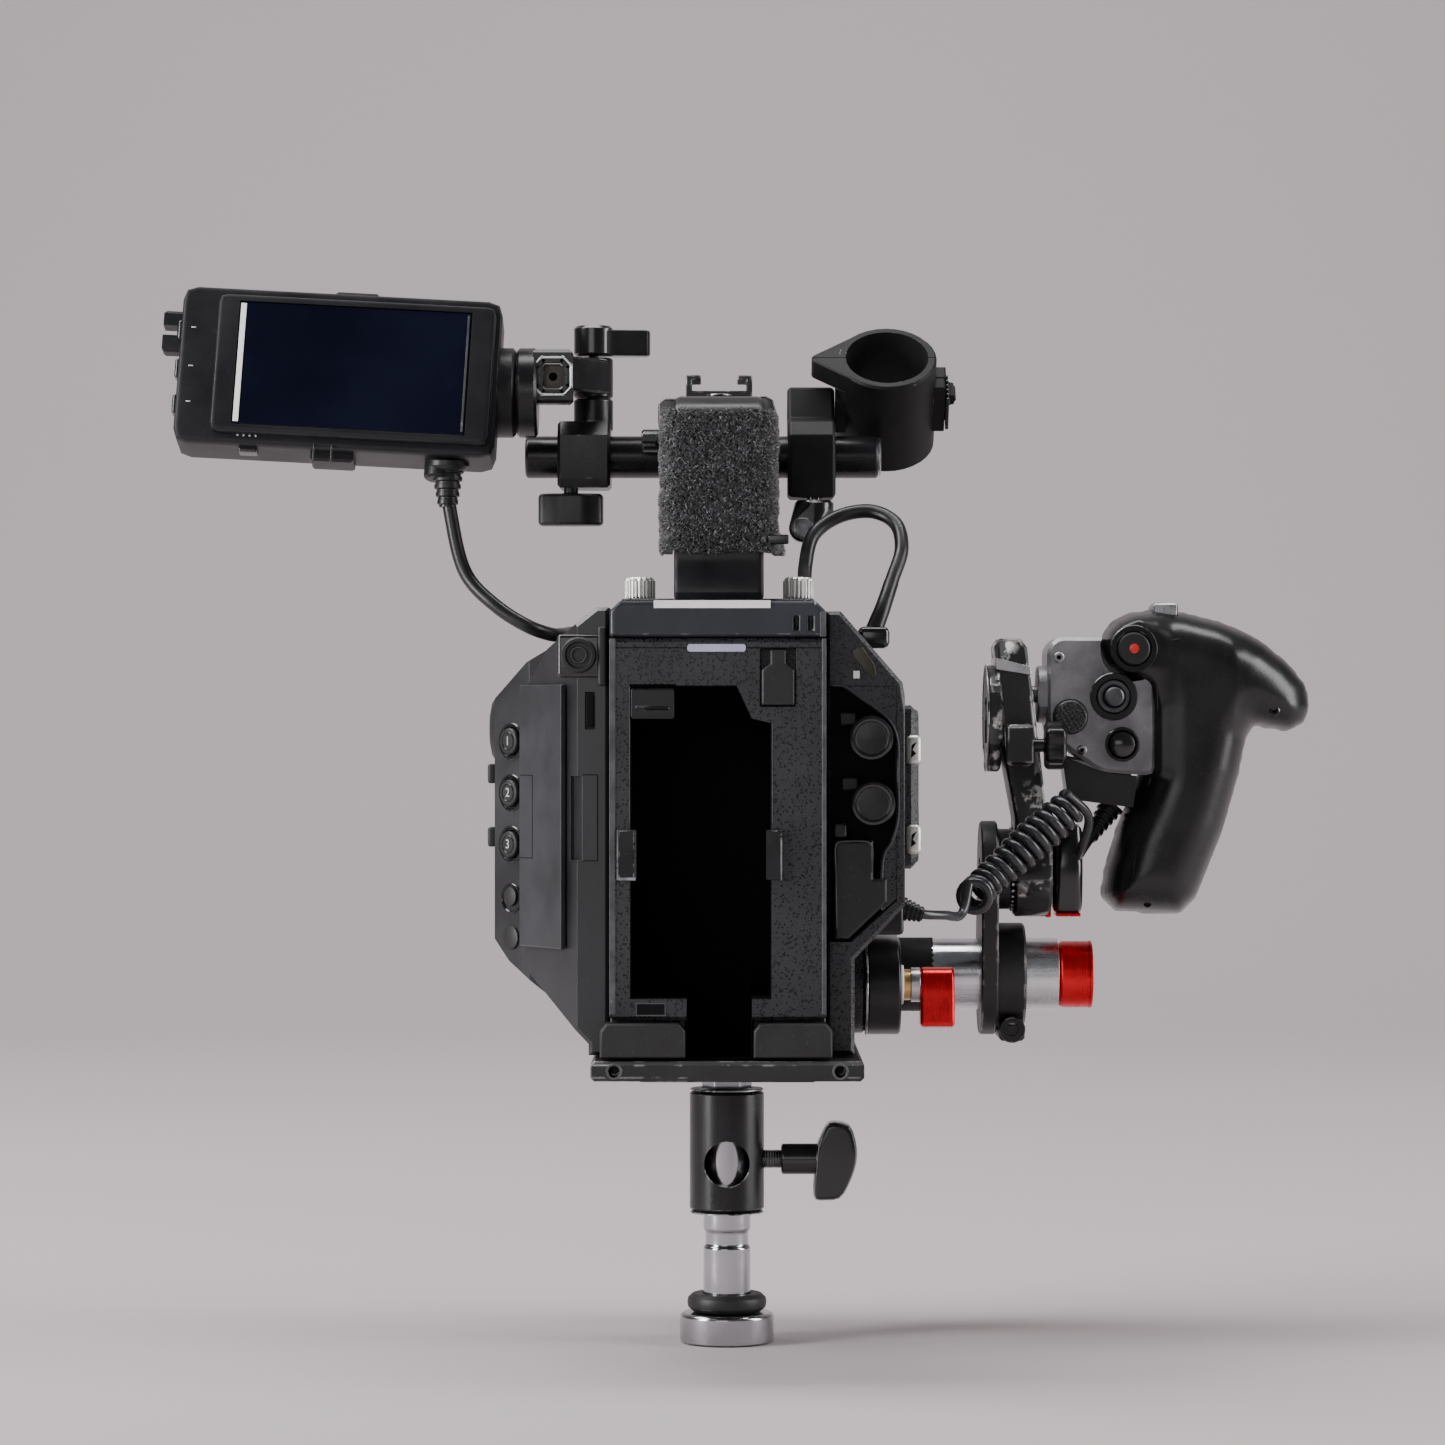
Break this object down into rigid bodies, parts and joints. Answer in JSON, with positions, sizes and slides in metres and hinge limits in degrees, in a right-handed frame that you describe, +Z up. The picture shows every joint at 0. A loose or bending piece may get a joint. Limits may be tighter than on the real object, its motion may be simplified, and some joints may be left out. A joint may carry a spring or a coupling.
{
  "type": "cinema camera rig",
  "caption": "Cinema camera body on a stand spigot with top handle, swing-arm monitor, microphone ring and side hand grip.",
  "frame": {"origin": "centre of the stand collar's flat underside", "axes": "+Z up the stand, +Y along the lens axis away from the operator, +X to the operator's right"},
  "size_m": [0.4024, 0.2246, 0.363],
  "materials": {
    "chrome": "polished",
    "steel": "brushed",
    "worn_steel": "worn",
    "black_metal": "black anodised, satin",
    "aluminium": "satin polished",
    "red_anodised": "red anodised",
    "black_paint": "fine textured black",
    "satin_grey": "satin, worn",
    "black_plastic": "satin",
    "rubber": "matte",
    "glass": "glossy",
    "fabric": "looped pile"
  },
  "bodies": {
    "stand_top": {"stand_spigot": "chrome", "spigot_ring": "rubber"},
    "camera": {"receiver_sleeve": "black_metal", "mount_nut": "worn_steel", "base_plate": "black_metal", "body_chassis": "black_paint", "rear_panel": "black_paint", "top_cap": "satin_grey", "left_housing": "black_paint", "right_housing": "black_paint", "foot_left": "rubber", "foot_right": "rubber", "lens_mount": "steel", "sensor_glass": "glass", "handle": "black_plastic", "cold_shoe": "worn_steel", "handle_wrap": "fabric", "handle_cable": "rubber", "monitor_cable": "rubber", "grip_cord": "rubber"},
    "sleeve_knob": {"sleeve_knob": "black_plastic"},
    "media_door": {"media_door": "satin_grey"},
    "select_dial": {"select_dial": "rubber"},
    "user_button_1": {"user_button_1": "rubber"},
    "user_button_2": {"user_button_2": "rubber"},
    "user_button_3": {"user_button_3": "rubber"},
    "battery_release": {"battery_release": "black_plastic"},
    "dc_cover": {"dc_cover": "rubber"},
    "sdi_cap_upper": {"sdi_cap_upper": "rubber"},
    "sdi_cap_lower": {"sdi_cap_lower": "rubber"},
    "port_cover": {"port_cover": "rubber"},
    "handle_screw_left": {"handle_screw_left": "steel"},
    "handle_screw_right": {"handle_screw_right": "steel"},
    "rod_lock_lever": {"rod_lock_lever": "black_metal"},
    "cross_rod": {"cross_rod": "black_metal"},
    "monitor_clamp": {"monitor_clamp": "black_metal"},
    "monitor_clamp_knob": {"monitor_clamp_knob": "black_plastic"},
    "monitor_arm": {"monitor_arm": "black_metal"},
    "monitor_arm_knob": {"monitor_arm_knob": "black_plastic"},
    "monitor": {"monitor_case": "black_plastic", "monitor_screen": "glass"},
    "mic_clamp": {"mic_clamp": "black_metal", "mic_ring": "black_metal"},
    "mic_clamp_knob": {"mic_clamp_knob": "black_plastic"},
    "mic_ring_gate": {"mic_ring_gate": "black_metal"},
    "side_arm": {"arm_flange": "black_metal", "arm_tube": "aluminium", "tube_cap": "red_anodised", "tube_clamp": "black_metal"},
    "arm_lock_knob": {"arm_lock_knob": "red_anodised"},
    "swing_arm": {"swing_arm": "black_metal"},
    "swing_arm_knob": {"swing_arm_knob": "black_plastic"},
    "grip_knob": {"grip_knob": "black_plastic"},
    "grip": {"grip_head": "satin_grey", "grip_body": "rubber"},
    "rec_button": {"rec_button": "rubber"},
    "joystick": {"joystick": "rubber"},
    "release_button": {"release_button": "black_plastic"},
    "menu_button": {"menu_button": "black_plastic"},
    "grip_lever": {"grip_lever": "steel"}
  },
  "joints": [
    {"name": "rig_pan", "type": "hinge", "parent": "stand_top", "child": "camera", "pos_m": [0, 0, 0.062], "axis": [0, 0, 1], "continuous": true},
    {"name": "sleeve_knob_turn", "type": "hinge", "parent": "camera", "child": "sleeve_knob", "pos_m": [0.02, 0, 0.0618], "axis": [1, 0, 0], "range_deg": [0, 360]},
    {"name": "media_door_hinge", "type": "hinge", "parent": "camera", "child": "media_door", "pos_m": [-0.0677, -0.059, 0.18], "axis": [0, 0, -1], "range_deg": [0, 100]},
    {"name": "select_dial_turn", "type": "hinge", "parent": "camera", "child": "select_dial", "pos_m": [-0.078, 0.005, 0.208], "axis": [1, 0, 0], "continuous": true},
    {"name": "user_button_1_press", "type": "slide", "parent": "camera", "child": "user_button_1", "axis": [0.7348, 0.6783, 0], "range_m": [0, 0.0012], "stiffness_N_per_m": 300},
    {"name": "user_button_2_press", "type": "slide", "parent": "camera", "child": "user_button_2", "axis": [0.7348, 0.6783, 0], "range_m": [0, 0.0012], "stiffness_N_per_m": 300},
    {"name": "user_button_3_press", "type": "slide", "parent": "camera", "child": "user_button_3", "axis": [0.7348, 0.6783, 0], "range_m": [0, 0.0012], "stiffness_N_per_m": 300},
    {"name": "battery_release_press", "type": "slide", "parent": "camera", "child": "battery_release", "axis": [0, 1, 0], "range_m": [0, 0.0015], "stiffness_N_per_m": 300},
    {"name": "dc_cover_flap", "type": "hinge", "parent": "camera", "child": "dc_cover", "pos_m": [0.0162, -0.1008, 0.2334], "axis": [-1, 0, 0], "range_deg": [0, 120]},
    {"name": "sdi_cap_upper_pull", "type": "slide", "parent": "camera", "child": "sdi_cap_upper", "axis": [0, -1, 0], "range_m": [0, 0.012]},
    {"name": "sdi_cap_lower_pull", "type": "slide", "parent": "camera", "child": "sdi_cap_lower", "axis": [0, -1, 0], "range_m": [0, 0.012]},
    {"name": "port_cover_flap", "type": "hinge", "parent": "camera", "child": "port_cover", "pos_m": [0.0515, -0.0885, 0.156], "axis": [0, 0, 1], "range_deg": [0, 110]},
    {"name": "handle_screw_left_turn", "type": "hinge", "parent": "camera", "child": "handle_screw_left", "pos_m": [-0.0288, -0.04, 0.254], "axis": [0, 0, 1], "continuous": true},
    {"name": "handle_screw_right_turn", "type": "hinge", "parent": "camera", "child": "handle_screw_right", "pos_m": [0.0236, -0.04, 0.254], "axis": [0, 0, 1], "continuous": true},
    {"name": "rod_lock_lever_turn", "type": "hinge", "parent": "camera", "child": "rod_lock_lever", "pos_m": [-0.025, 0.058, 0.3095], "axis": [1, 0, 0], "range_deg": [-75, 75]},
    {"name": "cross_rod_slide", "type": "slide", "parent": "camera", "child": "cross_rod", "axis": [1, 0, 0], "range_m": [-0.008, 0.008]},
    {"name": "monitor_clamp_turn", "type": "hinge", "parent": "cross_rod", "child": "monitor_clamp", "pos_m": [-0.05, 0.078, 0.3048], "axis": [1, 0, 0], "range_deg": [-30, 30]},
    {"name": "monitor_clamp_knob_turn", "type": "hinge", "parent": "monitor_clamp", "child": "monitor_clamp_knob", "pos_m": [-0.0553, 0.07, 0.286], "axis": [0, 0, 1], "range_deg": [0, 360]},
    {"name": "monitor_arm_swing", "type": "hinge", "parent": "monitor_clamp", "child": "monitor_arm", "pos_m": [-0.0475, 0.078, 0.332], "axis": [0, 0, 1], "range_deg": [-60, 40]},
    {"name": "monitor_arm_knob_turn", "type": "hinge", "parent": "monitor_arm", "child": "monitor_arm_knob", "pos_m": [-0.0475, 0.078, 0.346], "axis": [0, 0, 1], "range_deg": [-90, 60]},
    {"name": "monitor_tilt", "type": "hinge", "parent": "monitor_arm", "child": "monitor", "pos_m": [-0.074, 0.057, 0.3263], "axis": [1, 0, 0], "range_deg": [-45, 60], "deforming": ["monitor_cable"]},
    {"name": "mic_clamp_turn", "type": "hinge", "parent": "cross_rod", "child": "mic_clamp", "pos_m": [0.03, 0.078, 0.3048], "axis": [1, 0, 0], "range_deg": [-45, 60]},
    {"name": "mic_clamp_knob_turn", "type": "hinge", "parent": "mic_clamp", "child": "mic_clamp_knob", "pos_m": [0.031, 0.07, 0.286], "axis": [0, 0, 1], "range_deg": [0, 360]},
    {"name": "mic_ring_gate_hinge", "type": "hinge", "parent": "mic_clamp", "child": "mic_ring_gate", "pos_m": [0.0301, 0.094, 0.3263], "axis": [0, -0.6691, 0.7431], "range_deg": [0, 100]},
    {"name": "side_arm_fold", "type": "hinge", "parent": "camera", "child": "side_arm", "pos_m": [0.053, 0.015, 0.1196], "axis": [1, 0, 0], "range_deg": [-80, 4], "deforming": ["grip_cord"]},
    {"name": "arm_lock_knob_turn", "type": "hinge", "parent": "side_arm", "child": "arm_lock_knob", "pos_m": [0.065, 0.01, 0.1205], "axis": [1, 0, 0], "range_deg": [0, 360]},
    {"name": "swing_arm_turn", "type": "hinge", "parent": "side_arm", "child": "swing_arm", "pos_m": [0.1, 0.038, 0.1592], "axis": [1, 0, 0], "range_deg": [-60, 60]},
    {"name": "swing_arm_knob_turn", "type": "hinge", "parent": "swing_arm", "child": "swing_arm_knob", "pos_m": [0.115, 0.038, 0.1592], "axis": [1, 0, 0], "range_deg": [0, 360]},
    {"name": "grip_knob_turn", "type": "hinge", "parent": "swing_arm", "child": "grip_knob", "pos_m": [0.11, 0.0195, 0.2023], "axis": [1, 0, 0], "range_deg": [0, 360]},
    {"name": "grip_turn", "type": "hinge", "parent": "swing_arm", "child": "grip", "pos_m": [0.107, 0.042, 0.22], "axis": [1, 0, 0], "range_deg": [-4, 60]},
    {"name": "rec_button_press", "type": "slide", "parent": "grip", "child": "rec_button", "axis": [0, 1, 0], "range_m": [0, 0.0012], "stiffness_N_per_m": 300},
    {"name": "joystick_tilt", "type": "hinge", "parent": "grip", "child": "joystick", "pos_m": [0.1342, 0.0343, 0.2192], "axis": [1, 0, 0], "range_deg": [-12, 12], "stiffness_Nm_per_rad": 0.02},
    {"name": "release_button_press", "type": "slide", "parent": "grip", "child": "release_button", "axis": [0, 1, 0], "range_m": [0, 0.0014], "stiffness_N_per_m": 300},
    {"name": "menu_button_press", "type": "slide", "parent": "grip", "child": "menu_button", "axis": [0, 1, 0], "range_m": [0, 0.0012], "stiffness_N_per_m": 300},
    {"name": "grip_lever_slide", "type": "slide", "parent": "grip", "child": "grip_lever", "axis": [0, 1, 0], "range_m": [-0.002, 0.002], "stiffness_N_per_m": 100}
  ]
}
